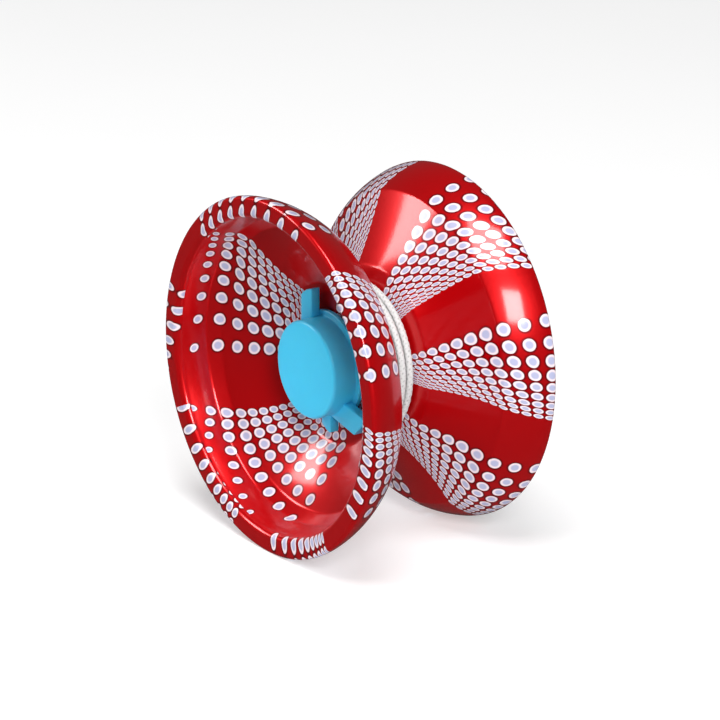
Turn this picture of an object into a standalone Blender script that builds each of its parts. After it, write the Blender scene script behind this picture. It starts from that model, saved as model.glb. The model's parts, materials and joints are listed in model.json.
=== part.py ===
"""A butterfly yo-yo with a ball bearing, in metres.

The spin axis is +Y and the origin is the middle of the bearing. Each half is drawn once, with its
stations measured outwards from the middle plane, and the front half is the back half turned half a
turn about the vertical. The front half, the one towards -Y, shows its open cup to the front.
"""

import math

import bmesh
import bpy

MM = 0.001

# Overall sizes of a half: s is the distance from the middle plane, r the distance from the axis.
RIM_RADIUS = 28.0 * MM
HALF_WIDTH = 17.0 * MM
RIM_WALL = 3.4 * MM
CUP_WALL = 1.7 * MM
CUP_STEP_RISE = 2.5 * MM
CUP_STEP_INSET = 1.0 * MM
LIP_ROUND = 0.6 * MM
LIP_INNER_ROUND = 1.0 * MM
LIP_LEAD = 0.4 * MM
RIM_BAND_WIDTH = 6.6 * MM
RIM_CROWN = 0.45 * MM
CREASE_DROP = 3.3 * MM
FLARE_HOLLOW = 0.35 * MM
CUP_FLOOR_HOLLOW = 0.5 * MM

# The gap that the string runs in.
GAP_HALF = 2.1 * MM
GAP_FLAT_MARGIN = 0.4 * MM
GAP_CROWN = 0.12 * MM
NECK_RADIUS = 14.2 * MM
NECK_S = 3.15 * MM

# Size C ball bearing.
BEARING_OUTER_RADIUS = 6.35 * MM
BEARING_BORE_RADIUS = 3.175 * MM
BEARING_WIDTH = 4.76 * MM
BALL_RADIUS = 0.794 * MM
BALL_COUNT = 8
LAND_DROP = 0.0135 * MM
SHIELD_THICKNESS = 0.2 * MM
SNAP_RING_THICKNESS = 0.3 * MM
SNAP_RING_WIDTH = 0.5 * MM
SNAP_RING_RECESS = 0.08 * MM
SNAP_RING_SPLIT = math.radians(24)

# Threaded stud and thin hexagon nuts, M4.
AXLE_RADIUS = 2.0 * MM
AXLE_PAST_NUT = 0.25 * MM
AXLE_CHAMFER = 0.4 * MM
KEY_ACROSS_FLATS = 2.0 * MM
KEY_DEPTH = 1.8 * MM
NUT_ACROSS_FLATS = 7.0 * MM
NUT_HEIGHT = 2.2 * MM
NUT_CHAMFER = 0.44 * MM

# What each half holds.
SHOULDER_LENGTH = 1.2 * MM
WEB = 1.2 * MM
SEAT_FLANGE_INSET = 0.05 * MM
PAD_LAND = 0.3 * MM
PAD_WIDTH = 1.9 * MM
PAD_THICKNESS = 0.95 * MM
PAD_RECESS = 0.05 * MM
PAD_FLOOR = 1.1 * MM
BOSS_WALL = 1.75 * MM

# Hub cap.
CAP_WALL = 1.2 * MM
CAP_HEADROOM = 0.37 * MM
CAP_EDGE_ROUND = 0.5 * MM
CAP_FLANGE_REACH = 1.0 * MM
CAP_FLANGE_THICKNESS = 0.8 * MM
TAB_FRONT_DROP = 2.7 * MM
TAB_THICKNESS = 1.6 * MM
# Direction of each tab (clockwise from the top, seen from its open side), the side offsets of its
# two edges, and how far each edge reaches past the cap's wall.
TABS = (
    (0.0, -5.0 * MM, -2.1 * MM, 2.7 * MM, 4.36 * MM),
    (103.0, 2.6 * MM, 6.3 * MM, 4.96 * MM, 2.96 * MM),
    (180.0, -2.8 * MM, -0.4 * MM, 2.26 * MM, 1.26 * MM),
)

# Wound string.
WINDING_RADIUS = 12.4 * MM
WINDING_CROWN = 0.7 * MM
WINDING_CROWN_SHARE = 0.5

# Fits between pieces.
CLEARANCE = 0.3 * MM
RACE_SIDE_CLEARANCE = 0.35 * MM
RACE_RIM_CLEARANCE = 0.45 * MM
POCKET_CLEARANCE = 0.25 * MM
CAGE_CLEARANCE = 0.35 * MM

# Facets of the turned pieces.
RIM_FACETS = 48
CAP_FACETS = 32
HUB_FACETS = 24
BORE_FACETS = 16
GROOVE_STEPS = 4
ROUND_STEPS = 3
BALL_FACETS = 10
BALL_RINGS = 6

# Stations that follow from the sizes above.
LIP_START_S = HALF_WIDTH - LIP_ROUND - LIP_LEAD
CREASE_S = LIP_START_S - RIM_BAND_WIDTH
CREASE_RADIUS = RIM_RADIUS - CREASE_DROP
BEARING_HALF = BEARING_WIDTH / 2
PITCH_RADIUS = (BEARING_BORE_RADIUS + BEARING_OUTER_RADIUS) / 2
RACE_WALL = (BEARING_OUTER_RADIUS - BEARING_BORE_RADIUS) / 2 - BALL_RADIUS - LAND_DROP
RACE_SIDE_S = BEARING_HALF + RACE_SIDE_CLEARANCE
POCKET_RADIUS = BEARING_OUTER_RADIUS + RACE_RIM_CLEARANCE
INNER_LAND_RADIUS = BEARING_BORE_RADIUS + RACE_WALL
OUTER_LAND_RADIUS = BEARING_OUTER_RADIUS - RACE_WALL
SEAT_POST_RADIUS = BEARING_BORE_RADIUS - CLEARANCE
SHOULDER_S = BEARING_HALF + CLEARANCE
SEAT_END_S = SHOULDER_S + SHOULDER_LENGTH
WEB_INNER_S = SEAT_END_S + CLEARANCE
WEB_OUTER_S = WEB_INNER_S + WEB
NUT_INNER_S = WEB_OUTER_S + CLEARANCE
NUT_OUTER_S = NUT_INNER_S + NUT_HEIGHT
AXLE_END_S = NUT_OUTER_S + AXLE_PAST_NUT
BORE_RADIUS = AXLE_RADIUS + CLEARANCE
PAD_GROOVE_INNER_RADIUS = POCKET_RADIUS + PAD_LAND
PAD_INNER_RADIUS = PAD_GROOVE_INNER_RADIUS + CLEARANCE
PAD_OUTER_RADIUS = PAD_INNER_RADIUS + PAD_WIDTH
PAD_GROOVE_OUTER_RADIUS = PAD_OUTER_RADIUS + CLEARANCE
FLAT_RADIUS = PAD_GROOVE_OUTER_RADIUS + GAP_FLAT_MARGIN
PAD_FACE_S = GAP_HALF + PAD_RECESS
PAD_BACK_S = PAD_FACE_S + PAD_THICKNESS
PAD_GROOVE_S = PAD_BACK_S + CLEARANCE
CUP_FLOOR_S = PAD_GROOVE_S + PAD_FLOOR
NUT_CORNER_RADIUS = (NUT_ACROSS_FLATS / 2 + CLEARANCE) / math.cos(math.pi / 6)
BOSS_RADIUS = NUT_CORNER_RADIUS + BOSS_WALL
BOSS_END_S = NUT_OUTER_S
CAP_INNER_RADIUS = BOSS_RADIUS + CLEARANCE
CAP_RADIUS = CAP_INNER_RADIUS + CAP_WALL
CAP_BASE_S = CUP_FLOOR_S + CLEARANCE
CAP_FACE_S = AXLE_END_S + CAP_HEADROOM + CAP_WALL
SEAT_FLANGE_RADIUS = INNER_LAND_RADIUS - SEAT_FLANGE_INSET


# Shapes


def turned_mesh(name, outline, facets, closed):
    """A mesh turned about +Y from (s, r) points. An outline that isn't closed ends on the axis."""
    mesh = bpy.data.meshes.new(name)
    bm = bmesh.new()
    rings = []
    for s, r in outline:
        if r <= 0.0:
            rings.append([bm.verts.new((0.0, s, 0.0))])
            continue
        ring = []
        for k in range(facets):
            angle = 2 * math.pi * (k + 0.5) / facets
            ring.append(bm.verts.new((r * math.sin(angle), s, r * math.cos(angle))))
        rings.append(ring)
    pairs = list(zip(rings, rings[1:]))
    if closed:
        pairs.append((rings[-1], rings[0]))
    for first, second in pairs:
        for k in range(facets):
            after = (k + 1) % facets
            if len(first) == 1:
                bm.faces.new((first[0], second[k], second[after]))
            elif len(second) == 1:
                bm.faces.new((first[k], second[0], first[after]))
            else:
                bm.faces.new((first[k], second[k], second[after], first[after]))
    bmesh.ops.recalc_face_normals(bm, faces=bm.faces)
    bm.to_mesh(mesh)
    bm.free()
    return mesh


def prism_mesh(name, points, low_s, high_s):
    """A prism along +Y from (x, z) points."""
    mesh = bpy.data.meshes.new(name)
    bm = bmesh.new()
    low = [bm.verts.new((x, low_s, z)) for x, z in points]
    high = [bm.verts.new((x, high_s, z)) for x, z in points]
    bm.faces.new(low)
    bm.faces.new(high)
    for k in range(len(points)):
        after = (k + 1) % len(points)
        bm.faces.new((low[k], high[k], high[after], low[after]))
    bmesh.ops.recalc_face_normals(bm, faces=bm.faces)
    bm.to_mesh(mesh)
    bm.free()
    return mesh


def hexagon(across_flats):
    radius = across_flats / 2 / math.cos(math.pi / 6)
    corners = [2 * math.pi * k / 6 for k in range(6)]
    return [(radius * math.sin(angle), radius * math.cos(angle)) for angle in corners]


def corner_round(centre_s, centre_r, radius):
    """Points of a quarter round, from facing outwards along the axis to facing away from it."""
    points = []
    for k in range(ROUND_STEPS + 1):
        angle = math.pi / 2 * k / ROUND_STEPS
        points.append((centre_s + radius * math.cos(angle), centre_r + radius * math.sin(angle)))
    return points


def bow(start, end, rise, steps):
    """Points of a parabola from start to end, bowed to its left by rise; the ends are left out."""
    ds, dr = end[0] - start[0], end[1] - start[1]
    length = math.hypot(ds, dr)
    points = []
    for k in range(1, steps):
        along = k / steps
        lift = 4 * rise * along * (1 - along)
        s = start[0] + ds * along - dr / length * lift
        r = start[1] + dr * along + ds / length * lift
        points.append((s, r))
    return points


# Objects


def material(name, colour, roughness, metallic):
    made = bpy.data.materials.new(name)
    made.use_nodes = True
    shader = made.node_tree.nodes["Principled BSDF"]
    shader.inputs["Base Color"].default_value = (*colour, 1.0)
    shader.inputs["Roughness"].default_value = roughness
    shader.inputs["Metallic"].default_value = metallic
    return made


def place(name, mesh, parent, finish):
    mesh.shade_smooth()
    mesh.set_sharp_from_angle(angle=math.radians(28))
    mesh.materials.append(finish)
    obj = bpy.data.objects.new(name, mesh)
    obj.parent = parent
    bpy.context.scene.collection.objects.link(obj)
    return obj


def helper(name, mesh, parent):
    obj = bpy.data.objects.new(name, mesh)
    obj.parent = parent
    obj.hide_render = True
    obj.display_type = "WIRE"
    bpy.context.scene.collection.objects.link(obj)
    return obj


def combine(obj, other, operation):
    modifier = obj.modifiers.new(other.name, "BOOLEAN")
    modifier.operation = operation
    modifier.object = other
    modifier.solver = "EXACT"


def pivot(name, parent=None, turn=0.0):
    empty = bpy.data.objects.new(name, None)
    empty.parent = parent
    empty.rotation_euler = (0.0, 0.0, turn)
    bpy.context.scene.collection.objects.link(empty)
    return empty


# One half


def shell_outer_outline():
    """From the bearing pocket along the gap face, out over the flare and rim to the lip."""
    crease = (CREASE_S, CREASE_RADIUS)
    neck = (NECK_S, NECK_RADIUS)
    flat = (GAP_HALF, FLAT_RADIUS)
    shoulder = (LIP_START_S, RIM_RADIUS)
    points = [
        (RACE_SIDE_S, POCKET_RADIUS),
        (GAP_HALF, POCKET_RADIUS),
        (GAP_HALF, PAD_GROOVE_INNER_RADIUS),
        (PAD_GROOVE_S, PAD_GROOVE_INNER_RADIUS),
        (PAD_GROOVE_S, PAD_GROOVE_OUTER_RADIUS),
        (GAP_HALF, PAD_GROOVE_OUTER_RADIUS),
        flat,
    ]
    points += bow(flat, neck, GAP_CROWN, 2)
    points.append(neck)
    points += bow(neck, crease, -FLARE_HOLLOW, 4)
    points.append(crease)
    points += bow(crease, shoulder, RIM_CROWN, 4)
    points.append(shoulder)
    return points


def lip_outline():
    """Over the lip, from the rim's outside to the cup's mouth."""
    mouth_radius = RIM_RADIUS - RIM_WALL
    outer_centre = (HALF_WIDTH - LIP_ROUND, RIM_RADIUS - LIP_ROUND)
    inner_centre = (HALF_WIDTH - LIP_INNER_ROUND, mouth_radius + LIP_INNER_ROUND)
    outer_round = corner_round(*outer_centre, LIP_ROUND)
    inner_corner = corner_round(*inner_centre, LIP_INNER_ROUND)
    inner_round = [(s, 2 * inner_centre[1] - r) for s, r in inner_corner]
    return outer_round[::-1] + inner_round


def cup_outline():
    """From the mouth down the cup's inside, over its two steps, to the hub boss."""
    upper_step = (CREASE_S + CUP_STEP_RISE, CREASE_RADIUS - CUP_STEP_INSET)
    lower_step = (CREASE_S + CUP_WALL - CUP_STEP_INSET, CREASE_RADIUS - CUP_STEP_RISE)
    floor = (CUP_FLOOR_S, NECK_RADIUS - CUP_WALL)
    return (
        [upper_step, lower_step]
        + bow(lower_step, floor, CUP_FLOOR_HOLLOW, 4)
        + [
            floor,
            (CUP_FLOOR_S, BOSS_RADIUS),
            (BOSS_END_S, BOSS_RADIUS),
        ]
    )


def make_shell(side, parent, finish):
    outline = shell_outer_outline() + lip_outline() + cup_outline()
    outline += [
        (BOSS_END_S, BORE_RADIUS),
        (WEB_INNER_S, BORE_RADIUS),
        (WEB_INNER_S, SEAT_FLANGE_RADIUS + CLEARANCE),
        (RACE_SIDE_S, SEAT_FLANGE_RADIUS + CLEARANCE),
    ]
    name = f"{side}_shell"
    shell = place(name, turned_mesh(name, outline, RIM_FACETS, True), parent, finish)
    socket = prism_mesh(
        f"{side}_nut_socket",
        hexagon(NUT_ACROSS_FLATS + 2 * CLEARANCE),
        WEB_OUTER_S,
        BOSS_END_S + WEB,
    )
    combine(shell, helper(f"{side}_nut_socket", socket, parent), "DIFFERENCE")
    return shell


def tab_points(direction, low_side, high_side, low_reach, high_reach):
    """Corners (x, z) of a tab that points out from the axis, rooted inside the cap's wall."""
    angle = math.radians(direction)
    along = (-math.sin(angle), math.cos(angle))
    across = (-math.cos(angle), -math.sin(angle))
    root_radius = CAP_RADIUS - CAP_WALL / 2
    corners = []
    for side, reach in (
        (low_side, math.sqrt(root_radius**2 - low_side**2)),
        (low_side, CAP_RADIUS + low_reach),
        (high_side, CAP_RADIUS + high_reach),
        (high_side, math.sqrt(root_radius**2 - high_side**2)),
    ):
        x = along[0] * reach + across[0] * side
        z = along[1] * reach + across[1] * side
        corners.append((x, z))
    return corners


def make_cap(side, parent, finish):
    flange_top_s = CAP_BASE_S + CAP_FLANGE_THICKNESS
    flange_radius = CAP_RADIUS + CAP_FLANGE_REACH
    outline = [(CAP_FACE_S, 0.0)]
    outline += corner_round(
        CAP_FACE_S - CAP_EDGE_ROUND, CAP_RADIUS - CAP_EDGE_ROUND, CAP_EDGE_ROUND
    )
    outline += [
        (flange_top_s, CAP_RADIUS),
        (flange_top_s, flange_radius),
        (CAP_BASE_S, flange_radius),
        (CAP_BASE_S, CAP_INNER_RADIUS),
        (CAP_FACE_S - CAP_WALL, CAP_INNER_RADIUS),
        (CAP_FACE_S - CAP_WALL, 0.0),
    ]
    name = f"{side}_hub_cap"
    cap = place(name, turned_mesh(name, outline, CAP_FACETS, False), parent, finish)
    tab_front_s = CAP_FACE_S - TAB_FRONT_DROP
    for number, tab in enumerate(TABS, 1):
        tab_name = f"{side}_cap_tab_{number}"
        mesh = prism_mesh(tab_name, tab_points(*tab), tab_front_s - TAB_THICKNESS, tab_front_s)
        combine(cap, helper(tab_name, mesh, parent), "UNION")
    return cap


def make_nut(side, parent, finish):
    name = f"{side}_axle_nut"
    flat_radius = NUT_ACROSS_FLATS / 2
    corner_radius = flat_radius / math.cos(math.pi / 6)
    mesh = prism_mesh(name, hexagon(NUT_ACROSS_FLATS), NUT_INNER_S, NUT_OUTER_S)
    nut = place(name, mesh, parent, finish)
    barrel = turned_mesh(
        f"{side}_nut_barrel",
        [
            (NUT_INNER_S - NUT_CHAMFER, BORE_RADIUS),
            (NUT_OUTER_S + NUT_CHAMFER, BORE_RADIUS),
            (NUT_OUTER_S + NUT_CHAMFER, flat_radius - NUT_CHAMFER),
            (NUT_OUTER_S - NUT_CHAMFER, corner_radius + NUT_CHAMFER),
            (NUT_INNER_S + NUT_CHAMFER, corner_radius + NUT_CHAMFER),
            (NUT_INNER_S - NUT_CHAMFER, flat_radius - NUT_CHAMFER),
        ],
        BORE_FACETS,
        True,
    )
    combine(nut, helper(f"{side}_nut_barrel", barrel, parent), "INTERSECT")
    return nut


def make_seat(side, parent, finish):
    """The metal bush that the bearing's inner race sits on."""
    name = f"{side}_bearing_seat"
    outline = [
        (CLEARANCE / 2, BORE_RADIUS),
        (CLEARANCE / 2, SEAT_POST_RADIUS),
        (SHOULDER_S, SEAT_POST_RADIUS),
        (SHOULDER_S, SEAT_FLANGE_RADIUS),
        (SEAT_END_S, SEAT_FLANGE_RADIUS),
        (SEAT_END_S, BORE_RADIUS),
    ]
    return place(name, turned_mesh(name, outline, HUB_FACETS, True), parent, finish)


def make_pad(side, parent, finish):
    """The soft ring that grips the string when it goes slack."""
    name = f"{side}_response_pad"
    outline = [
        (PAD_FACE_S, PAD_INNER_RADIUS),
        (PAD_FACE_S, PAD_OUTER_RADIUS),
        (PAD_BACK_S, PAD_OUTER_RADIUS),
        (PAD_BACK_S, PAD_INNER_RADIUS),
    ]
    return place(name, turned_mesh(name, outline, RIM_FACETS, True), parent, finish)


# Bearing


def groove_points(land_radius, towards):
    """The ball groove in a race's land: an arc about the ball's centre, cut at the land."""
    radius = BALL_RADIUS + CLEARANCE
    depth = towards * (land_radius - PITCH_RADIUS)
    reach = math.acos(depth / radius)
    points = []
    for k in range(GROOVE_STEPS + 1):
        angle = -reach + 2 * reach * k / GROOVE_STEPS
        s = radius * math.sin(angle)
        r = PITCH_RADIUS + towards * radius * math.cos(angle)
        points.append((s, r))
    return points


def make_inner_race(parent, finish):
    outline = [(-BEARING_HALF, BEARING_BORE_RADIUS), (-BEARING_HALF, INNER_LAND_RADIUS)]
    outline += groove_points(INNER_LAND_RADIUS, -1)
    outline += [(BEARING_HALF, INNER_LAND_RADIUS), (BEARING_HALF, BEARING_BORE_RADIUS)]
    name = "bearing_inner_race"
    return place(name, turned_mesh(name, outline, HUB_FACETS, True), parent, finish)


def shield_stations():
    """The shield's inner and outer faces, then the snap ring's."""
    snap_outer = BEARING_HALF - SNAP_RING_RECESS
    snap_inner = snap_outer - SNAP_RING_THICKNESS
    shield_outer = snap_inner - CLEARANCE
    return shield_outer - SHIELD_THICKNESS, shield_outer, snap_inner, snap_outer


def make_outer_race(parent, finish):
    shield_inner = shield_stations()[0]
    step_s = shield_inner - CLEARANCE / 2
    step_radius = OUTER_LAND_RADIUS + RACE_WALL / 2
    outline = [
        (-BEARING_HALF, BEARING_OUTER_RADIUS),
        (-BEARING_HALF, step_radius),
        (-step_s, step_radius),
        (-step_s, OUTER_LAND_RADIUS),
    ]
    outline += groove_points(OUTER_LAND_RADIUS, 1)
    outline += [
        (step_s, OUTER_LAND_RADIUS),
        (step_s, step_radius),
        (BEARING_HALF, step_radius),
        (BEARING_HALF, BEARING_OUTER_RADIUS),
    ]
    name = "bearing_outer_race"
    return place(name, turned_mesh(name, outline, HUB_FACETS, True), parent, finish)


def make_shield(side, parent, finish):
    name = f"{side}_bearing_shield"
    inner_s, outer_s = shield_stations()[:2]
    inner_radius = INNER_LAND_RADIUS + CLEARANCE
    outer_radius = OUTER_LAND_RADIUS + RACE_WALL / 2 - CLEARANCE
    outline = [
        (inner_s, inner_radius),
        (outer_s, inner_radius),
        (outer_s, outer_radius),
        (inner_s, outer_radius),
    ]
    return place(name, turned_mesh(name, outline, HUB_FACETS, True), parent, finish)


def make_snap_ring(side, parent, finish):
    """The split ring that keeps a shield in the outer race."""
    name = f"{side}_snap_ring"
    low_s, high_s = shield_stations()[2:]
    outer_radius = OUTER_LAND_RADIUS + RACE_WALL / 2 - CLEARANCE
    inner_radius = outer_radius - SNAP_RING_WIDTH
    sweep = 2 * math.pi - SNAP_RING_SPLIT
    angles = [SNAP_RING_SPLIT / 2 + sweep * k / HUB_FACETS for k in range(HUB_FACETS + 1)]
    points = [(outer_radius * math.sin(a), outer_radius * math.cos(a)) for a in angles]
    points += [(inner_radius * math.sin(a), inner_radius * math.cos(a)) for a in reversed(angles)]
    return place(name, prism_mesh(name, points, low_s, high_s), parent, finish)


def make_cage(parent, finish):
    """The ribbon that spaces the balls, with a round pocket for each."""
    name = "bearing_cage"
    half = shield_stations()[0] - CLEARANCE / 2
    inner_radius = INNER_LAND_RADIUS + CAGE_CLEARANCE
    outer_radius = OUTER_LAND_RADIUS - CAGE_CLEARANCE
    outline = [
        (-half, inner_radius),
        (half, inner_radius),
        (half, outer_radius),
        (-half, outer_radius),
    ]
    cage = place(name, turned_mesh(name, outline, HUB_FACETS, True), parent, finish)
    pockets = bpy.data.meshes.new("cage_pockets")
    bm = bmesh.new()
    reach = outer_radius - inner_radius + 2 * CLEARANCE
    for k in range(BALL_COUNT):
        made = bmesh.ops.create_cone(
            bm,
            cap_ends=True,
            segments=BORE_FACETS,
            radius1=BALL_RADIUS + POCKET_CLEARANCE,
            radius2=BALL_RADIUS + POCKET_CLEARANCE,
            depth=reach,
        )
        angle = 2 * math.pi * k / BALL_COUNT
        for vert in made["verts"]:
            x, y, z = vert.co
            out = z + PITCH_RADIUS
            vert.co = (
                out * math.sin(angle) + x * math.cos(angle),
                y,
                out * math.cos(angle) - x * math.sin(angle),
            )
    bmesh.ops.recalc_face_normals(bm, faces=bm.faces)
    bm.to_mesh(pockets)
    bm.free()
    combine(cage, helper("cage_pockets", pockets, parent), "DIFFERENCE")
    return cage


def make_balls(parent, finish):
    for k in range(BALL_COUNT):
        name = f"bearing_ball_{k + 1}"
        mesh = bpy.data.meshes.new(name)
        bm = bmesh.new()
        bmesh.ops.create_uvsphere(
            bm, u_segments=BALL_FACETS, v_segments=BALL_RINGS, radius=BALL_RADIUS
        )
        bm.to_mesh(mesh)
        bm.free()
        ball = place(name, mesh, parent, finish)
        angle = 2 * math.pi * k / BALL_COUNT
        ball.location = (PITCH_RADIUS * math.sin(angle), 0.0, PITCH_RADIUS * math.cos(angle))


def make_axle(parent, finish):
    name = "axle_stud"
    outline = [
        (-AXLE_END_S, 0.0),
        (-AXLE_END_S, AXLE_RADIUS - AXLE_CHAMFER),
        (-AXLE_END_S + AXLE_CHAMFER, AXLE_RADIUS),
        (AXLE_END_S - AXLE_CHAMFER, AXLE_RADIUS),
        (AXLE_END_S, AXLE_RADIUS - AXLE_CHAMFER),
        (AXLE_END_S, 0.0),
    ]
    axle = place(name, turned_mesh(name, outline, BORE_FACETS, False), parent, finish)
    socket = prism_mesh(
        "key_socket", hexagon(KEY_ACROSS_FLATS), -AXLE_END_S - KEY_DEPTH, -AXLE_END_S + KEY_DEPTH
    )
    combine(axle, helper("key_socket", socket, parent), "DIFFERENCE")
    return axle


def make_winding(parent, finish):
    """The outer shape of the string, wound on the bearing between the two gap faces."""
    bottom_radius = BEARING_OUTER_RADIUS + CLEARANCE
    corner_radius = WINDING_RADIUS - WINDING_CROWN
    low_half = GAP_HALF - CLEARANCE
    slope = (NECK_S - GAP_HALF) / (NECK_RADIUS - FLAT_RADIUS)
    top_half = low_half + slope * (corner_radius - FLAT_RADIUS) - GAP_CROWN
    side_points = [
        (low_half, bottom_radius),
        (low_half, FLAT_RADIUS),
        (top_half, corner_radius),
        (top_half * WINDING_CROWN_SHARE, WINDING_RADIUS),
    ]
    outline = side_points + [(-s, r) for s, r in reversed(side_points)]
    name = "string_winding"
    return place(name, turned_mesh(name, outline, RIM_FACETS, True), parent, finish)


def main():
    for obj in list(bpy.data.objects):
        bpy.data.objects.remove(obj)

    gloss_red = material("gloss_red", (0.55, 0.004, 0.006), 0.15, 0.1)
    cap_blue = material("cap_blue", (0.03, 0.42, 0.85), 0.35, 0.0)
    steel = material("steel", (0.62, 0.62, 0.64), 0.25, 1.0)
    zinc = material("zinc", (0.55, 0.56, 0.58), 0.35, 1.0)
    brass = material("brass", (0.78, 0.58, 0.25), 0.3, 1.0)
    silicone = material("silicone", (0.85, 0.85, 0.83), 0.6, 0.0)
    white_string = material("white_string", (0.88, 0.88, 0.86), 0.9, 0.0)
    amber_nylon = material("amber_nylon", (0.75, 0.62, 0.35), 0.5, 0.0)

    halves = pivot("halves")
    string_spin = pivot("string_spin")
    cage_spin = pivot("cage_spin")
    for side, turn in (("front", math.pi), ("back", 0.0)):
        half = pivot(f"{side}_half", halves, turn)
        make_shell(side, half, gloss_red)
        make_cap(side, half, cap_blue)
        make_nut(side, half, zinc)
        make_seat(side, half, brass)
        make_pad(side, half, silicone)
        end = pivot(f"{side}_bearing_end", string_spin, turn)
        make_shield(side, end, steel)
        make_snap_ring(side, end, steel)
    make_axle(halves, zinc)
    make_inner_race(halves, steel)
    make_outer_race(string_spin, steel)
    make_winding(string_spin, white_string)
    make_cage(cage_spin, amber_nylon)
    make_balls(cage_spin, steel)


main()
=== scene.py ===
import json
import math

import bmesh
import bpy
import numpy as np
from mathutils import Matrix, Vector


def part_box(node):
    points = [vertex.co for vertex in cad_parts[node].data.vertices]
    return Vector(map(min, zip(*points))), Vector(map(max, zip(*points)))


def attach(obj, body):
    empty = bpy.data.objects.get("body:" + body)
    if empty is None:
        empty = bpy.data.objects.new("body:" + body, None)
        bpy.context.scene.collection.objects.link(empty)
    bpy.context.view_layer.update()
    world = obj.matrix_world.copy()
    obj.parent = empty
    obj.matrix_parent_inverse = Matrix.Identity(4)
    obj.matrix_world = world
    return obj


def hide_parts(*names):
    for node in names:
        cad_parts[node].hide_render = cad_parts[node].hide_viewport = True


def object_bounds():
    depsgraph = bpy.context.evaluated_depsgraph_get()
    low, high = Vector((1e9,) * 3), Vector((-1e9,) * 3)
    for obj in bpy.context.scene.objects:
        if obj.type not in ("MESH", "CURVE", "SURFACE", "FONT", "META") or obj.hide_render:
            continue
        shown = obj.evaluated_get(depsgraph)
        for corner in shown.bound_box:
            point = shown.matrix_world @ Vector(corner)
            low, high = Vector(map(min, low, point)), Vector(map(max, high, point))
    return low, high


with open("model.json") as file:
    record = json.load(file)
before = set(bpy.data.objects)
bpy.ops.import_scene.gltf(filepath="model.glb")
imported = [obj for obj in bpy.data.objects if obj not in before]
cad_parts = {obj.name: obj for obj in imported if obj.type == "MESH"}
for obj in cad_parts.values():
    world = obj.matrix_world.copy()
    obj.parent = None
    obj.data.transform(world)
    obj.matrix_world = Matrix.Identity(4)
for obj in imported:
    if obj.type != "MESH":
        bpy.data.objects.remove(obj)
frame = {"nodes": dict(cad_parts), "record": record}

MM = 0.001
cad_low, cad_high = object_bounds()


# ---------------------------------------------------------------- sizes from the frame

def slot_of(node):
    """The record's material slot of a CAD node."""
    for entry in frame["record"]["subparts"]:
        if entry["node"] == node:
            return entry["material_slot"]


shell_low, shell_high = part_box("back_shell")
cap_low, cap_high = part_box("back_hub_cap")
wind_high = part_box("string_winding")[1]
race_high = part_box("bearing_outer_race")[1]
seat_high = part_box("back_bearing_seat")[1]
pad_low, pad_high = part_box("back_response_pad")
nut_low, nut_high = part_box("back_axle_nut")

# The CAD's rounds are polygons, so a box reaches to a flat: the flat's share of the true radius, for
# the shells, pads and winding (48 sides) and for the bearing's rings and the seats (24 sides).
FLAT_SHARE = math.cos(math.pi / 48)
RING_FLAT_SHARE = math.cos(math.pi / 24)
RIM_RADIUS = shell_high.z / FLAT_SHARE
HALF_WIDTH = shell_high.y
GAP_HALF = shell_low.y
FLOOR_Z = cad_low.z


# ---------------------------------------------------------------- camera

CAMERA_AT = Vector((0.49647, -0.35369, 0.20519))
CAMERA_RIGHT = Vector((0.5808, 0.8140, 0.0)).normalized()
CAMERA_FORWARD = Vector((-0.7714, 0.5504, -0.3194)).normalized()
LENS_MM = 209.98


def make_camera():
    """The scene's camera, at the angle and distance fitted to both rims."""
    data = bpy.data.cameras.new("camera")
    data.lens = LENS_MM
    data.sensor_width = 36.0
    data.clip_start = 0.02
    data.clip_end = 50.0
    camera = bpy.data.objects.new("camera", data)
    bpy.context.scene.collection.objects.link(camera)
    up = CAMERA_RIGHT.cross(CAMERA_FORWARD).normalized()
    right = CAMERA_FORWARD.cross(up).normalized()
    turn = Matrix((right, up, -CAMERA_FORWARD)).transposed()
    camera.matrix_world = Matrix.Translation(CAMERA_AT) @ turn.to_4x4()
    bpy.context.scene.camera = camera


# ---------------------------------------------------------------- mesh helpers

def link(name, mesh):
    obj = bpy.data.objects.new(name, mesh)
    bpy.context.scene.collection.objects.link(obj)
    return obj


def smooth(mesh, degrees):
    mesh.shade_smooth()
    mesh.set_sharp_from_angle(angle=math.radians(degrees))


def bow(start, end, rise, steps):
    """Points of a parabola from start to end, bowed to its left by rise; the ends are left out."""
    ds, dr = end[0] - start[0], end[1] - start[1]
    length = math.hypot(ds, dr)
    points = []
    for k in range(1, steps):
        along = k / steps
        lift = 4 * rise * along * (1 - along)
        points.append((
            start[0] + ds * along - dr / length * lift,
            start[1] + dr * along + ds / length * lift,
        ))
    return points


def arc(centre_s, centre_r, radius, start, end, steps):
    """Points of an arc between two angles in degrees, both ends kept."""
    points = []
    for k in range(steps + 1):
        angle = math.radians(start + (end - start) * k / steps)
        points.append((centre_s + radius * math.cos(angle), centre_r + radius * math.sin(angle)))
    return points


def ease_corner(before, corner, after, reach, steps):
    """Points that round a corner off, from reach before it to reach after it."""
    c = Vector(corner)
    a = c + (Vector(before) - c).normalized() * reach
    b = c + (Vector(after) - c).normalized() * reach
    points = []
    for k in range(steps + 1):
        t = k / steps
        points.append(tuple((1 - t) ** 2 * a + 2 * t * (1 - t) * c + t * t * b))
    return points


def ring_of(bm, s, r, facets):
    """A ring of vertices about +Y, at distance s along it and radius r, both in mm."""
    ring = []
    for k in range(facets):
        angle = 2 * math.pi * k / facets
        ring.append(bm.verts.new((r * MM * math.sin(angle), s * MM, r * MM * math.cos(angle))))
    return ring


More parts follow.
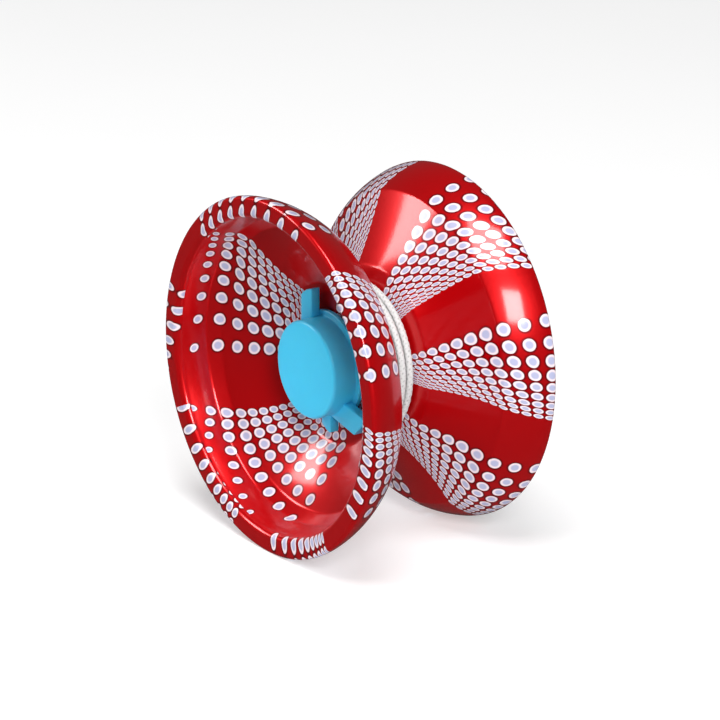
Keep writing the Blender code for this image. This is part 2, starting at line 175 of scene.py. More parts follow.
def bridge(bm, rings, facets):
    """Faces between rings of vertices, where a ring may be a single vertex on the axis."""
    for first, second in zip(rings, rings[1:]):
        for k in range(facets):
            after = (k + 1) % facets
            if len(first) == 1:
                bm.faces.new((first[0], second[k], second[after]))
            elif len(second) == 1:
                bm.faces.new((first[k], second[0], first[after]))
            else:
                bm.faces.new((first[k], second[k], second[after], first[after]))


def close_mesh(bm, mesh):
    """Turn the faces outward, fill the mesh and free the working copy."""
    bmesh.ops.recalc_face_normals(bm, faces=bm.faces)
    bm.to_mesh(mesh)
    bm.free()


# ---------------------------------------------------------------- shell profile

# Lengths in mm. s runs along the axis from the middle of the yo-yo, and r is the radius.
FIT = 0.3                     # clearance round the pads, the seats and the string
POCKET_CLEARANCE = 0.45       # between the bearing and its pocket's wall
POCKET_S = 2.73               # floor of the bearing's pocket
THROAT = 1.05                 # how far the wall has flared back from the gap's face at the neck
NECK_RADIUS = 14.2
CREASE_S, CREASE_DROP = 9.4, 3.3
SHOULDER = 1.0                # how far the rim's widest point sits back from the lip's face
LIP_ROUND = 0.6
RIM_WALL = 3.4
LIP_INNER_ROUND = 1.0
CUP_UPPER = (11.9, 23.7)      # the step in the cup's wall
CUP_LOWER = (10.1, 22.2)
CUP_FLOOR = (4.5, 12.5)
BOSS_RADIUS = 6.14
BOSS_CHAMFER = 0.2
BOSS_FOOT = 0.3               # slant where the boss meets the cup's floor
SOCKET_RADIUS = 4.39          # round the nut
BORE_RADIUS = 2.3             # round the stud


def outer_profile():
    """(s, r) points from the bearing's pocket, out over the flare and the rim, to the lip's face."""
    gap = GAP_HALF / MM
    half = HALF_WIDTH / MM
    rim = RIM_RADIUS / MM
    pad_in = pad_low.z / -MM / FLAT_SHARE
    pocket = race_high.z / MM / RING_FLAT_SHARE + POCKET_CLEARANCE
    groove_out = pad_in + FIT
    groove_in = pocket + FIT
    groove_s = pad_high.y / MM + FIT
    flat = (gap, groove_out + 0.4)
    neck = (gap + THROAT, NECK_RADIUS)
    crease = (CREASE_S, rim - CREASE_DROP)
    shoulder = (half - SHOULDER, rim)
    outer = [(POCKET_S, pocket), (gap, pocket), (gap, groove_in)]
    outer += [(groove_s, groove_in), (groove_s, groove_out)]
    outer += ease_corner((groove_s, groove_out), (gap, groove_out), flat, 0.12, 3)
    throat = [flat] + bow(flat, neck, 0.12, 8)
    flare = bow(neck, crease, -0.35, 26)
    outer += throat
    outer += ease_corner(throat[-1], neck, flare[0], 0.25, 3)
    outer += flare
    band = bow(crease, shoulder, 0.45, 18)
    outer += ease_corner(flare[-1], crease, band[0], 0.22, 4)
    outer += band
    outer += arc(half - LIP_ROUND, rim - LIP_ROUND, LIP_ROUND, 90, 0, 7)
    return outer


def inner_profile():
    """(s, r) points from the lip's face, down the cup and the hub, back to the bearing's pocket."""
    half = HALF_WIDTH / MM
    rim = RIM_RADIUS / MM
    mouth = rim - RIM_WALL
    lip = [(half, rim - 1.4), (half, rim - 1.9)]
    lip += arc(half - LIP_INNER_ROUND, mouth + LIP_INNER_ROUND, LIP_INNER_ROUND, 0, -90, 9)
    wall = bow(lip[-1], CUP_UPPER, 0.12, 10)
    bowl = bow(CUP_LOWER, CUP_FLOOR, 0.5, 26)
    inner = lip + wall
    inner += ease_corner(wall[-1], CUP_UPPER, CUP_LOWER, 0.28, 4)
    inner += ease_corner(CUP_UPPER, CUP_LOWER, bowl[0], 0.28, 4)
    inner += bowl
    floor_s = CUP_FLOOR[0]
    inner += ease_corner(bowl[-1], CUP_FLOOR, (floor_s, BOSS_RADIUS), 0.5, 5)
    inner += [(floor_s, 9.0), (floor_s, BOSS_RADIUS + BOSS_FOOT)]
    inner += [(floor_s + BOSS_FOOT, BOSS_RADIUS)]
    top = nut_high.y / MM
    inner += [(top - BOSS_CHAMFER, BOSS_RADIUS), (top, BOSS_RADIUS - BOSS_CHAMFER)]
    under_nut = nut_low.y / MM - FIT
    inner += [(top, SOCKET_RADIUS), (under_nut, SOCKET_RADIUS), (under_nut, BORE_RADIUS)]
    seat_s = seat_high.y / MM + FIT
    flange = seat_high.z / MM / RING_FLAT_SHARE + FIT
    inner += [(seat_s, BORE_RADIUS), (seat_s, flange), (POCKET_S, flange)]
    return inner


# ---------------------------------------------------------------- dot lattice

# Each band of dots: the angle of its first, most open row; its width; the distance along the profile
# where its rings run level; the ratio of one row gap to the one before; the ring gap as a share of the
# radius; and the turn in degrees per mm along the profile. Angles are in degrees from +Z towards +X in
# the shell's own frame, and distances are in mm.
FRONT_OUTER_BANDS = (
    (73.0, 40.0, 14.6, 0.91, 0.133, 0.0), (115.5, 43.0, 26.7, 0.89, 0.125, 0.0),
    (184.0, 30.0, 26.8, 0.84, 0.125, 0.0), (237.0, 31.0, 25.8, 0.83, 0.125, 0.0),
    (286.5, 33.0, 24.7, 0.83, 0.125, 0.0), (340.0, 56.0, 26.9, 0.96, 0.125, 0.8),
)
BACK_OUTER_BANDS = (
    (13.2, 38.0, 31.0, 0.84, 0.125, 0.0), (69.0, 31.5, 24.1, 0.83, 0.125, 0.0),
    (120.5, 36.5, 20.7, 0.83, 0.125, 0.0), (177.0, 34.0, 24.0, 0.83, 0.125, 0.0),
    (232.0, 33.0, 25.0, 0.83, 0.125, 0.0), (283.0, 32.0, 26.0, 0.83, 0.125, 0.0),
    (315.0, 32.0, 27.0, 0.86, 0.125, 0.0),
)
FRONT_INNER_BANDS = (
    (95.0, 55.5, 4.6, 0.86, 0.165, 0.0), (184.0, 58.0, 14.2, 0.90, 0.185, 1.0),
    (275.0, 54.0, 8.0, 0.87, 0.170, 0.4), (350.0, 52.0, 11.0, 0.88, 0.175, 0.0),
)
BACK_INNER_BANDS = (
    (40.0, 56.0, 9.0, 0.88, 0.170, 0.3), (128.0, 55.0, 5.0, 0.86, 0.165, 0.0),
    (221.0, 58.0, 13.0, 0.90, 0.185, 0.9), (310.0, 56.0, 7.0, 0.87, 0.170, 0.2),
)
LAST_ROW = 8
LIP_FROM = 24.9            # the outside dots stretch into dashes from this distance on
LIP_DOT = 1.3              # half length and half width of a dash, in mm
LIP_DOT_WIDTH = 0.72
FURTHEST_RING = -4.5       # the outside bands end past this ring
WIDEST_ROW_SHARE = 0.44    # most that a dot's half size may take of its cell
WIDEST_RING_SHARE = 0.43


def wrapped(degrees):
    return (degrees + 180.0) % 360.0 - 180.0


class Film:
    """Lattice coordinates of the dots on one side of a shell."""

    def __init__(self, bands, outside, log_radius, radius_at):
        self.bands = bands
        self.direction = 1 if outside else -1
        self.log_radius = log_radius
        self.radius_at = radius_at

    def shift(self, u, band):
        """How far a band has turned, and its width's share, at this distance along the profile."""
        _, _, level, _, _, turn = band
        if self.direction > 0:
            swirl = 6.0 * max(0.0, (17.0 - u) / 14.0) ** 1.5
            return swirl + turn * max(0.0, u - 24.0), 0.62 + 0.38 * min(u, 27.0) / 24.0
        return turn * (u - 12.0), 1.0

    def band_of(self, angle, u):
        """The band whose middle is nearest to this angle."""
        best = None
        for band in self.bands:
            start, width = band[:2]
            turn, narrow = self.shift(u, band)
            middle = start + turn + self.direction * width * narrow / 2
            off = abs(wrapped(angle - middle)) / width
            if best is None or off < best[0]:
                best = (off, band)
        return best[1]

    def lattice(self, angle, u, band):
        """Row, ring and the dot's half sizes in cells, at an angle and a distance along the profile."""
        start, width, level, ratio, ring_share, _ = band
        turn, narrow = self.shift(u, band)
        closing = 1 - ratio**LAST_ROW
        share = self.direction * wrapped(angle - start - turn) / (width * narrow)
        left = max(1 - share * closing, 0.02)
        row = math.log(left) / math.log(ratio)
        inside = min(max(row, 0.0), LAST_ROW)
        ring_step = ring_share * 0.93**inside
        bend = 0.0
        if self.direction < 0 and level < 6:
            reach = min(max(share * width, -12.0), 75.0)
            bend = 0.075 * reach - 0.00175 * reach * reach
        ring = (self.log_radius(level + bend) - self.log_radius(u)) / ring_step
        radius = self.radius_at(u)
        row_size = -math.log(ratio) * left / closing * math.radians(width * narrow) * radius
        ring_size = ring_step * radius
        if self.direction > 0:
            tall = wide = 1.0 + 0.1 * min(1.0, max(0.0, (22.0 - u) / 10.0))
            if u > LIP_FROM:
                tall, wide = LIP_DOT, LIP_DOT_WIDTH
        else:
            tall = wide = min(0.98, max(0.5, 0.62 + 0.10 * (u - 4.0)))
        row_half = min(wide / row_size, WIDEST_ROW_SHARE)
        return row, ring, row_half, min(tall / ring_size, WIDEST_RING_SHARE)


# Where the film was stretched over the lip and the wall behind it: distances along the profile, and
# the distances at which the pattern was laid there.
LIP_TRUE = (0.0, 3.37, 7.57, 27.57)
LIP_LAID = (0.0, 2.75, 6.8, 26.8)


def table_along(points, lip_start=None):
    """Distances along a profile, and lookups of its radius and of its summed length over radius."""
    s = np.array([p[0] for p in points])
    r = np.array([p[1] for p in points])
    u = np.concatenate([[0.0], np.cumsum(np.hypot(np.diff(s), np.diff(r)))])
    if lip_start is not None:
        start = u[lip_start]
        u = np.where(u > start, start + np.interp(u - start, LIP_TRUE, LIP_LAID), u)
    steps = np.diff(u)
    log_radius = np.concatenate([[0.0], np.cumsum(steps * 2 / (r[1:] + r[:-1]))])

    def summed(value):
        if value > u[-1]:
            return float(log_radius[-1] + (value - u[-1]) / r[-1])
        return float(np.interp(value, u, log_radius))

    return u, summed, lambda value: float(np.interp(value, u, r))


# ---------------------------------------------------------------- shells

SHELL_FACETS = 288
FACET_STEP = 360.0 / SHELL_FACETS
FILM_EDGE = 2.75           # the outside film ends this far in from the lip's face
FLAT_INDEX = 9             # first point of the outside film in the profile
LIP_POINTS = 14            # points of the inner profile that the outside film may reach
CUP_FILM_RADIUS = 8.0      # the inside film stops at this radius


def make_shell(side, outer_bands, inner_bands):
    """One shell, turned about the axis, with the dots' lattice in its UV maps."""
    outer, inner = outer_profile(), inner_profile()
    outline = outer + inner
    lip_at = len(outer) - 1
    film_points = outer[FLAT_INDEX:] + inner[:LIP_POINTS]
    u_out, sum_out, radius_out = table_along(film_points, lip_at - FLAT_INDEX)
    u_in, sum_in, radius_in = table_along(outer[-1:] + inner, 0)
    lip_u = u_out[lip_at - FLAT_INDEX]
    outside = Film(outer_bands, True, sum_out, radius_out)
    inside = Film(inner_bands, False, sum_in, radius_in)

    def film_at(i):
        """The film on the strip after profile point i, and the distances at the strip's two edges."""
        if FLAT_INDEX <= i < lip_at:
            return outside, (u_out[i - FLAT_INDEX], u_out[i + 1 - FLAT_INDEX])
        if lip_at <= i < len(outline) - 1:
            low, high = u_in[i - lip_at], u_in[i + 1 - lip_at]
            if (low + high) / 2 < FILM_EDGE:
                return outside, (lip_u + low, lip_u + high)
            if outline[i][1] > CUP_FILM_RADIUS:
                return inside, (low, high)
        return None, (0.0, 0.0)

    mesh = bpy.data.meshes.new(f"{side}_shell_finish")
    bm = bmesh.new()
    lattice_map = bm.loops.layers.uv.new("lattice")
    size_map = bm.loops.layers.uv.new("dot_size")
    rings = [ring_of(bm, s, r, SHELL_FACETS) for s, r in outline]
    for i, ring in enumerate(rings):
        next_ring = rings[(i + 1) % len(rings)]
        film, ends = film_at(i)
        for k in range(SHELL_FACETS):
            after = (k + 1) % SHELL_FACETS
            face = bm.faces.new((ring[k], next_ring[k], next_ring[after], ring[after]))
            if film is None:
                continue
            middle = (k + 0.5) * FACET_STEP
            band = film.band_of(middle, (ends[0] + ends[1]) / 2)
            ring_here = film.lattice(middle, sum(ends) / 2, band)[1]
            if film is outside and ring_here < FURTHEST_RING:
                continue
            corners = ((k, ends[0]), (k, ends[1]), (k + 1, ends[1]), (k + 1, ends[0]))
            for loop, (turn, u) in zip(face.loops, corners):
                row, ring_number, row_half, ring_half = film.lattice(turn * FACET_STEP, u, band)
                loop[lattice_map].uv = (row, ring_number)
                loop[size_map].uv = (row_half, ring_half)
    close_mesh(bm, mesh)
    smooth(mesh, 32)
    shell = link(f"{side}_shell_finish", mesh)
    if side == "front":
        shell.rotation_euler = (0.0, 0.0, math.pi)
    return shell


# ---------------------------------------------------------------- materials

CELL_FLOOR = 0.01          # keeps the division by a dot's half size finite
PRINTED_FROM = 0.02        # half sizes below this mean bare film


class Nodes:
    """A material's node tree, with short calls for the nodes used here."""

    def __init__(self, name):
        self.material = bpy.data.materials.new(name)
        self.material.use_nodes = True
        self.tree = self.material.node_tree
        self.shader = self.tree.nodes["Principled BSDF"]

    def node(self, kind, **settings):
        made = self.tree.nodes.new(kind)
        for key, value in settings.items():
            setattr(made, key, value)
        return made

    def feed(self, socket, value):
        if isinstance(value, bpy.types.NodeSocket):
            self.tree.links.new(value, socket)
        else:
            socket.default_value = value

    def math(self, operation, *values):
        made = self.node("ShaderNodeMath", operation=operation)
        for socket, value in zip(made.inputs, values):
            self.feed(socket, value)
        return made.outputs[0]

    def ramp(self, value, low, high, out_low=0.0, out_high=1.0):
        made = self.node("ShaderNodeMapRange", interpolation_type="SMOOTHSTEP")
        for socket, given in zip(made.inputs[:5], (value, low, high, out_low, out_high)):
            self.feed(socket, given)
        return made.outputs[0]

    def mix(self, share, first, second):
        made = self.node("ShaderNodeMix", data_type="RGBA")
        self.feed(made.inputs[0], share)
        self.feed(made.inputs[6], first)
        self.feed(made.inputs[7], second)
        return made.outputs[2]

    def noise(self, scale, detail=2.0, roughness=0.5, vector=None, stretch=None):
        coordinates = vector or self.node("ShaderNodeTexCoord").outputs["Object"]
        if stretch:
            mapping = self.node("ShaderNodeMapping")
            self.feed(mapping.inputs["Vector"], coordinates)
            mapping.inputs["Scale"].default_value = stretch
            coordinates = mapping.outputs[0]
        made = self.node("ShaderNodeTexNoise")
        self.feed(made.inputs["Vector"], coordinates)
        made.inputs["Scale"].default_value = scale
        made.inputs["Detail"].default_value = detail
        made.inputs["Roughness"].default_value = roughness
        return made.outputs[0]

    def bump(self, height, strength, distance):
        made = self.node("ShaderNodeBump")
        made.inputs["Strength"].default_value = strength
        made.inputs["Distance"].default_value = distance
        self.feed(made.inputs["Height"], height)
        self.feed(self.shader.inputs["Normal"], made.outputs[0])

    def set(self, **values):
        names = {"base": "Base Color", "coat": "Coat Weight", "coat_rough": "Coat Roughness",
                 "sheen": "Sheen Weight", "sheen_rough": "Sheen Roughness", "ior": "IOR",
                 "specular": "Specular IOR Level", "subsurface": "Subsurface Weight",
                 "subsurface_scale": "Subsurface Scale"}
        for key, value in values.items():
            self.feed(self.shader.inputs[names.get(key, key.capitalize())], value)


def shell_material():
    """Glossy red lacquer over turned metal, with dots that have a pale rim and a grey centre."""
    n = Nodes("shell_red_dotted")
    lattice = n.node("ShaderNodeUVMap", uv_map="lattice").outputs[0]
    size = n.node("ShaderNodeUVMap", uv_map="dot_size").outputs[0]
    cell = n.node("ShaderNodeSeparateXYZ")
    n.feed(cell.inputs[0], lattice)
    half = n.node("ShaderNodeSeparateXYZ")
    n.feed(half.inputs[0], size)
    row, ring = cell.outputs[0], cell.outputs[1]
    row_off = n.math("SUBTRACT", row, n.math("ROUND", row))
    ring_off = n.math("SUBTRACT", ring, n.math("ROUND", ring))
    row_far = n.math("DIVIDE", row_off, n.math("MAXIMUM", half.outputs[0], CELL_FLOOR))
    ring_far = n.math("DIVIDE", ring_off, n.math("MAXIMUM", half.outputs[1], CELL_FLOOR))
    row_squared = n.math("MULTIPLY", row_far, row_far)
    squared = n.math("ADD", row_squared, n.math("MULTIPLY", ring_far, ring_far))
    distance = n.math("SQRT", squared)
    wobble = n.noise(900.0, 1.0)
    distance = n.math("ADD", distance, n.math("MULTIPLY", n.math("SUBTRACT", wobble, 0.5), 0.12))
    in_band = n.math(
        "MULTIPLY", n.math("GREATER_THAN", row, -0.5), n.math("LESS_THAN", row, LAST_ROW + 0.5)
    )
    in_band = n.math("MULTIPLY", in_band, n.math("GREATER_THAN", half.outputs[0], PRINTED_FROM))
    dot = n.math("MULTIPLY", n.ramp(distance, 0.93, 1.03, 1.0, 0.0), in_band)
    outline = n.math("MULTIPLY", n.ramp(distance, 1.08, 1.42, 1.0, 0.0), in_band)
    centre = n.ramp(distance, 0.45, 0.78, 1.0, 0.0)
    cloud = n.noise(60.0, 3.0)
    red = n.mix(cloud, (0.56, 0.0, 0.002, 1.0), (0.64, 0.0, 0.003, 1.0))
    red = n.mix(n.math("MULTIPLY", outline, 0.8), red, (0.10, 0.0, 0.004, 1.0))
    pale = n.mix(centre, (0.88, 0.74, 0.78, 1.0), (0.44, 0.46, 0.66, 1.0))
    colour = n.mix(dot, red, pale)
    speck = n.noise(2400.0, 2.0)
    bare = n.math("SUBTRACT", 1.0, dot)
    n.set(base=colour, metallic=n.math("MULTIPLY", bare, 0.5))
    n.set(roughness=n.ramp(speck, 0.3, 0.7, 0.30, 0.36))
    n.set(coat=0.8, coat_rough=0.12, ior=1.5, specular=0.2)
    turned = n.noise(1.0, 3.0, 0.6, stretch=(300.0, 2600.0, 300.0))
    height = n.math("ADD", n.math("MULTIPLY", turned, 0.35), n.math("MULTIPLY", dot, 0.65))
    n.bump(height, 0.10, 0.00003)
    return n.material


def cap_material():
    """Moulded sky-blue plastic with a fine satin grain."""
    n = Nodes("cap_blue_moulded")
    cloud = n.noise(140.0, 3.0)
    colour = n.mix(cloud, (0.045, 0.60, 0.95, 1.0), (0.055, 0.66, 1.0, 1.0))
    grain = n.noise(5200.0, 3.0, 0.6)
    n.set(base=colour, roughness=n.ramp(grain, 0.3, 0.7, 0.30, 0.42))
    n.set(subsurface=0.12, subsurface_scale=0.0012, coat=0.25, coat_rough=0.2)
    n.bump(grain, 0.18, 0.00004)
    return n.material


def steel_material(name, dark, light, roughness, stretch):
    """Turned or ground metal, with fine lines in its roughness and its height."""
    n = Nodes(name)
    lines = n.noise(1.0, 3.0, 0.6, stretch=stretch)
    patch = n.noise(240.0, 2.0)
    n.set(base=n.mix(patch, dark, light), metallic=1.0)
    n.set(roughness=n.ramp(lines, 0.3, 0.7, roughness * 0.8, roughness * 1.3))
    n.bump(lines, 0.15, 0.00003)
    return n.material


def pad_material():
    """Cast silicone, matt and slightly cloudy."""
    n = Nodes("pad_silicone_cast")
    cloud = n.noise(500.0, 4.0)
    n.set(base=n.mix(cloud, (0.74, 0.74, 0.70, 1.0), (0.84, 0.84, 0.80, 1.0)), roughness=0.62)
    n.set(subsurface=0.2, subsurface_scale=0.001)
    n.bump(n.noise(3000.0, 3.0), 0.25, 0.00005)
    return n.material


def nylon_material():
    """Moulded nylon in its natural tan."""
    n = Nodes("cage_nylon_moulded")
    cloud = n.noise(700.0, 3.0)
    n.set(base=n.mix(cloud, (0.62, 0.48, 0.24, 1.0), (0.72, 0.58, 0.32, 1.0)), roughness=0.5)
    n.set(subsurface=0.1, subsurface_scale=0.0008)
    n.bump(n.noise(4000.0, 2.0), 0.2, 0.00003)
    return n.material


def string_material():
    """Spun polyester: pale, with painted shade in the hollows between the plies and fine slanting
    fibres.
    """
    n = Nodes("string_white_twisted")
    along = n.node("ShaderNodeUVMap", uv_map="along").outputs[0]
    fibres = n.noise(1.0, 3.0, 0.6, vector=along, stretch=(26.0, 1400.0, 1.0))
    hollow = n.node("ShaderNodeAttribute", attribute_name="ply").outputs["Fac"]
    pale = n.mix(fibres, (0.50, 0.51, 0.50, 1.0), (0.80, 0.80, 0.80, 1.0))
    # Painted shade: where the ply bulge is low, in the hollows between the plies, the colour is
    # darkened towards grey.
    colour = n.mix(n.ramp(hollow, 0.0, 0.7, 0.7, 0.0), pale, (0.22, 0.22, 0.22, 1.0))
    n.set(base=colour, roughness=0.85, sheen=0.35, sheen_rough=0.5)
    n.bump(fibres, 0.5, 0.00012)
    return n.material


def floor_material():
    """Pale matt floor, lifted by a little light of its own."""
    n = Nodes("floor_pale")
    grain = n.noise(18.0, 3.0)
    n.set(base=n.mix(grain, (0.62, 0.62, 0.62, 1.0), (0.64, 0.64, 0.64, 1.0)), roughness=0.9)
    n.set(specular=0.0)
    n.shader.inputs["Emission Color"].default_value = (1.0, 1.0, 1.0, 1.0)
    n.shader.inputs["Emission Strength"].default_value = 0.45
    return n.material


# ---------------------------------------------------------------- hub caps

def turned(name, outline, facets):
    """A mesh turned about +Y from (s, r) points in mm, whose ends lie on the axis."""
    mesh = bpy.data.meshes.new(name)
    bm = bmesh.new()
    rings = []
    for s, r in outline:
        rings.append(ring_of(bm, s, r, facets) if r > 0 else [bm.verts.new((0.0, s * MM, 0.0))])
    bridge(bm, rings, facets)
    close_mesh(bm, mesh)
    return mesh


CAP_RADIUS, CAP_INSIDE, CAP_FLANGE = 7.64, 6.44, 8.64
CAP_FACE_ROUND = 0.5
CAP_FACE_WALL = 1.2
CAP_FACETS = 120
TAB_DROP = 2.7             # from the cap's face to the tabs' front
TAB_THICKNESS = 1.6
TAB_ROOT = 0.6             # depth of a tab's root in the cap's wall
TAB_EDGE = 0.22
TAB_BULGE = 0.35           # how far a tab's end bows out

# Direction of each tab in degrees, the side offsets of its two edges and their reach, in mm.
TABS = (
    (0.0, -5.0, -2.1, 10.3, 11.95),
    (103.0, 2.6, 6.3, 12.55, 10.55),
    (180.0, -2.8, -0.4, 9.85, 8.85),
)


def tab_object(name, tab, root_radius, front):
    """A tab with rounded edges, rooted inside the cap's wall."""
    direction, low_side, high_side, low_reach, high_reach = tab
    angle = math.radians(direction)
    along = (-math.sin(angle), math.cos(angle))
    across = (-math.cos(angle), -math.sin(angle))
    corners = []
    middle = (low_side + high_side) / 2
    for side, reach in (
        (low_side, math.sqrt(root_radius**2 - low_side**2)),
        (low_side, low_reach),
        (low_side * 0.7 + middle * 0.3, low_reach * 0.85 + high_reach * 0.15 + TAB_BULGE * 0.7),
        (middle, (low_reach + high_reach) / 2 + TAB_BULGE),
        (high_side, high_reach),
        (high_side, math.sqrt(root_radius**2 - high_side**2)),
    ):
        corners.append((along[0] * reach + across[0] * side, along[1] * reach + across[1] * side))
    mesh = bpy.data.meshes.new(name)
    bm = bmesh.new()
    low = [bm.verts.new((x * MM, (front - TAB_THICKNESS) * MM, z * MM)) for x, z in corners]
    high = [bm.verts.new((x * MM, front * MM, z * MM)) for x, z in corners]
    bm.faces.new(low)
    bm.faces.new(high)
    for k in range(len(corners)):
        after = (k + 1) % len(corners)
        bm.faces.new((low[k], high[k], high[after], low[after]))
    bmesh.ops.recalc_face_normals(bm, faces=bm.faces)
    bmesh.ops.bevel(
        bm, geom=list(bm.edges), offset=TAB_EDGE * MM, segments=3, profile=0.5, affect="EDGES",
        offset_type="OFFSET", clamp_overlap=True,
    )
    bm.to_mesh(mesh)
    bm.free()
    return link(name, mesh)


def make_cap(side):
    """A hub cap: a round-edged cup with a foot flange, and its tabs joined on."""
    face = cap_high.y / MM
    base = cap_low.y / MM
    radius, flange = CAP_RADIUS, CAP_FLANGE
    outline = [(face, 0.0), (face, 2.5), (face, 5.0)]
    outline += arc(face - CAP_FACE_ROUND, radius - CAP_FACE_ROUND, CAP_FACE_ROUND, 0, 90, 8)
    outline += [(base + 1.15, radius), (base + 0.9, radius + 0.1), (base + 0.8, radius + 0.35)]
    outline += arc(base + 0.6, flange - 0.2, 0.2, 0, 90, 4)
    outline += [(base + 0.1, flange), (base, flange - 0.1), (base, CAP_INSIDE)]
    outline += [(face - CAP_FACE_WALL, CAP_INSIDE), (face - CAP_FACE_WALL, 0.0)]
    cap = link(f"{side}_hub_cap_finish", turned(f"{side}_hub_cap_finish", outline, CAP_FACETS))
    helpers = []
    for number, tab in enumerate(TABS, 1):
        helper = tab_object(f"{side}_tab_{number}", tab, radius - TAB_ROOT, face - TAB_DROP)
        helpers.append(helper)
        modifier = cap.modifiers.new(helper.name, "BOOLEAN")
        modifier.operation = "UNION"
        modifier.solver = "EXACT"
        modifier.object = helper
    graph = bpy.context.evaluated_depsgraph_get()
    made = bpy.data.meshes.new_from_object(cap.evaluated_get(graph))
    cap.modifiers.clear()
    cap.data = made
    for helper in helpers:
        bpy.data.objects.remove(helper)
    smooth(made, 30)
    if side == "front":
        cap.rotation_euler = (0.0, 0.0, math.pi)
    return cap


# ---------------------------------------------------------------- string

STRING_DIAMETER = 1.15 * MM
TURNS_ACROSS = 3
LAYERS = 5
POINTS_PER_TURN = 48
FINE_PER_POINT = 4
STRING_SIDES = 12
LAY_LENGTH = 3.0 * MM      # one turn of the twist
STRING_START = math.radians(200)
STEP_FROM = 0.78           # share of a turn after which the string moves over to its next place


def string_path():
    """The wound string's centreline: three turns to a layer, in five layers."""
    inner = race_high.z / RING_FLAT_SHARE + FIT * MM + STRING_DIAMETER / 2
    outer = wind_high.z / FLAT_SHARE - STRING_DIAMETER / 2
    rise = (outer - inner) / (LAYERS - 1)
    turns = TURNS_ACROSS * LAYERS
    places = []
    for layer in range(LAYERS):
        spread = (1.2 if layer < LAYERS - 1 else 1.35) * MM
        offsets = [-spread, 0.0, spread]
        if layer % 2:
            offsets.reverse()
        places += [(offset, inner + rise * layer) for offset in offsets]
    points = []
    for k in range(turns * POINTS_PER_TURN + 1):
        number, share = divmod(k / POINTS_PER_TURN, 1.0)
        number = int(number)
        here = places[min(number, turns - 1)]
        after = places[min(number + 1, turns - 1)]
        t = min(max((share - STEP_FROM) / (1 - STEP_FROM), 0.0), 1.0)
        t = t * t * (3 - 2 * t)
        y = here[0] + (after[0] - here[0]) * t
        r = here[1] + (after[1] - here[1]) * t
        angle = STRING_START + 2 * math.pi * k / POINTS_PER_TURN
        points.append(Vector((r * math.sin(angle), y, r * math.cos(angle))))
    return points


def make_string():
    """The string as a twisted three-ply tube, with its path's points and its length."""
    path = string_path()
    fine = [
        a.lerp(b, k / FINE_PER_POINT)
        for a, b in zip(path, path[1:])
        for k in range(FINE_PER_POINT)
    ]
    fine.append(path[-1])
    count = len(fine)
    mesh = bpy.data.meshes.new("string_finish")
    bm = bmesh.new()
    uv = bm.loops.layers.uv.new("along")
    ply = bm.verts.layers.float.new("ply")
    rings = []
    distance = [0.0]
    for a, b in zip(fine, fine[1:]):
        distance.append(distance[-1] + (b - a).length)
    for i, point in enumerate(fine):
        ahead = fine[min(i + 1, count - 1)] - fine[max(i - 1, 0)]
        ahead.normalize()
        out = Vector((point.x, 0.0, point.z)).normalized()
        side = ahead.cross(out).normalized()
        out = side.cross(ahead).normalized()
        twist = 2 * math.pi * distance[i] / LAY_LENGTH
        ring = []
        for k in range(STRING_SIDES):
            angle = 2 * math.pi * k / STRING_SIDES
            bulge = abs(math.cos(1.5 * (angle + twist)))
            radius = STRING_DIAMETER / 2 * (0.76 + 0.24 * bulge)
            spoke = out * math.cos(angle) + side * math.sin(angle)
            vert = bm.verts.new(point + spoke * radius)
            # The bulge is also kept as the ply attribute, which the string's material uses for the
            # painted shade in the hollows.
            vert[ply] = bulge
            ring.append(vert)
        rings.append(ring)
    for i in range(count - 1):
        for k in range(STRING_SIDES):
            after = (k + 1) % STRING_SIDES
            near, far = rings[i], rings[i + 1]
            face = bm.faces.new((near[k], near[after], far[after], far[k]))
            places = ((k, i), (k + 1, i), (k + 1, i + 1), (k, i + 1))
            for loop, (turn, station) in zip(face.loops, places):
                slant = distance[station] / LAY_LENGTH
                loop[uv].uv = (turn / STRING_SIDES + slant, distance[station])
    bm.faces.new(rings[0][::-1])
    bm.faces.new(rings[-1])
    close_mesh(bm, mesh)
    mesh.shade_smooth()
    obj = link("string_finish", mesh)
    return obj, [tuple(p) for p in path], distance[-1]


# ---------------------------------------------------------------- stage

# Each light's direction from the object, the two sides of its panel in metres, and its power.
LIGHT_DISTANCE = 0.9
LIGHTS = {
    "key": ((0.795, -0.34, 0.50), (0.30, 0.30), 5.6),
    "left": ((-0.675, -0.643, 0.363), (0.24, 0.30), 2.2),
    "top": ((0.25, -0.25, 1.0), (0.45, 0.45), 6.5),
}
WORLD_STRENGTH = 0.06
FLOOR_REACH = 0.3          # radius of the floor, in metres, where the backdrop takes over
SWEEP_RADIUS = 1.5         # of the backdrop's curve up from the floor
SWEEP_FROM = 2.5
SWEEP_STEPS = 12
BACKDROP_TOP = 4.0
STAGE_FACETS = 96


def area_light(name, direction, size, power):
    """A rectangular light that faces the object."""
    data = bpy.data.lights.new(name, "AREA")
    data.shape = "RECTANGLE"
    data.size, data.size_y = size
    data.energy = power
    data.color = (1.0, 1.0, 1.0)
    light = bpy.data.objects.new(name, data)
    bpy.context.scene.collection.objects.link(light)
    towards = Vector(direction).normalized()
    light.location = towards * LIGHT_DISTANCE
    light.rotation_euler = (-towards).to_track_quat("-Z", "Y").to_euler()


def swept(name, outline, material):
    """A stage surface turned about the upright axis from (radius, height) points in metres."""
    mesh = bpy.data.meshes.new(name)
    bm = bmesh.new()
    step = 2 * math.pi / STAGE_FACETS
    rings = [
        [
            bm.verts.new((r * math.sin(step * k), r * math.cos(step * k), z))
            for k in range(STAGE_FACETS if r else 1)
        ]
        for r, z in outline
    ]
    bridge(bm, rings, STAGE_FACETS)
    close_mesh(bm, mesh)
    mesh.shade_smooth()
    mesh.materials.append(material)
    surface = link(name, mesh)
    surface.location.z = FLOOR_Z
    surface.visible_glossy = False
    return surface


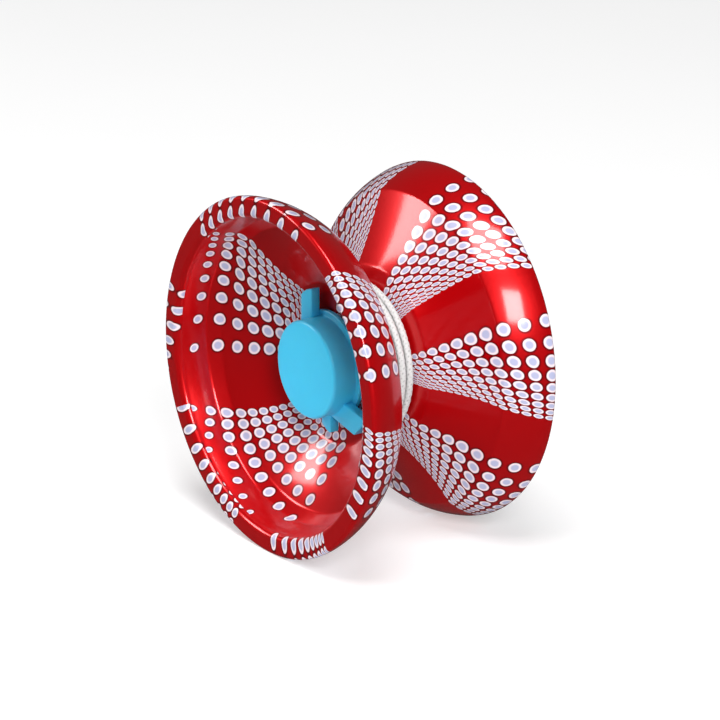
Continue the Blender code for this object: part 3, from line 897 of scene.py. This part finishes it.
def make_stage():
    """A pale floor, a backdrop that sweeps up round it, and three soft lights."""
    material = floor_material()
    swept("floor", [(0.0, 0.0), (0.1, 0.0), (FLOOR_REACH, 0.0)], material)
    outline = [(FLOOR_REACH, 0.0), (0.6, 0.0), (1.2, 0.0), (SWEEP_FROM, 0.0)]
    for k in range(1, SWEEP_STEPS + 1):
        angle = math.radians(90 * k / SWEEP_STEPS)
        outline.append((
            SWEEP_FROM + SWEEP_RADIUS * math.sin(angle),
            SWEEP_RADIUS - SWEEP_RADIUS * math.cos(angle),
        ))
    outline.append((SWEEP_FROM + SWEEP_RADIUS, BACKDROP_TOP))
    backdrop = swept("backdrop", outline, material)
    backdrop.visible_diffuse = False
    world = bpy.data.worlds.new("studio")
    world.use_nodes = True
    background = world.node_tree.nodes["Background"]
    background.inputs["Color"].default_value = (1.0, 1.0, 1.0, 1.0)
    background.inputs["Strength"].default_value = WORLD_STRENGTH
    bpy.context.scene.world = world
    for name, (direction, size, power) in LIGHTS.items():
        area_light(name, direction, size, power)


# ---------------------------------------------------------------- assembly

make_camera()
string, string_points, string_length = make_string()
string.data.materials.append(string_material())
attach(string, "string_race")
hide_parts("string_winding")

red = shell_material()
blue = cap_material()
for side, outer_bands, inner_bands in (
    ("front", FRONT_OUTER_BANDS, FRONT_INNER_BANDS),
    ("back", BACK_OUTER_BANDS, BACK_INNER_BANDS),
):
    shell = make_shell(side, outer_bands, inner_bands)
    shell.data.materials.append(red)
    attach(shell, "halves")
    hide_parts(f"{side}_shell")
    cap = make_cap(side)
    cap.data.materials.clear()
    cap.data.materials.append(blue)
    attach(cap, "halves")
    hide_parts(f"{side}_hub_cap")

finishes = {
    "bearing_steel": steel_material(
        "bearing_steel_ground", (0.62, 0.63, 0.65, 1.0), (0.72, 0.73, 0.75, 1.0), 0.16,
        (2200.0, 300.0, 2200.0),
    ),
    "zinc": steel_material(
        "zinc_plate", (0.52, 0.54, 0.58, 1.0), (0.66, 0.67, 0.70, 1.0), 0.34,
        (900.0, 1600.0, 900.0),
    ),
    "brass": steel_material(
        "brass_turned", (0.66, 0.45, 0.16, 1.0), (0.78, 0.57, 0.25, 1.0), 0.26,
        (300.0, 3000.0, 300.0),
    ),
    "pad_silicone": pad_material(),
    "cage_nylon": nylon_material(),
}
for name, node in frame["nodes"].items():
    finish = finishes.get(slot_of(name))
    if finish:
        node.data.materials.clear()
        node.data.materials.append(finish)

make_stage()
bpy.context.scene.view_settings.view_transform = "Standard"
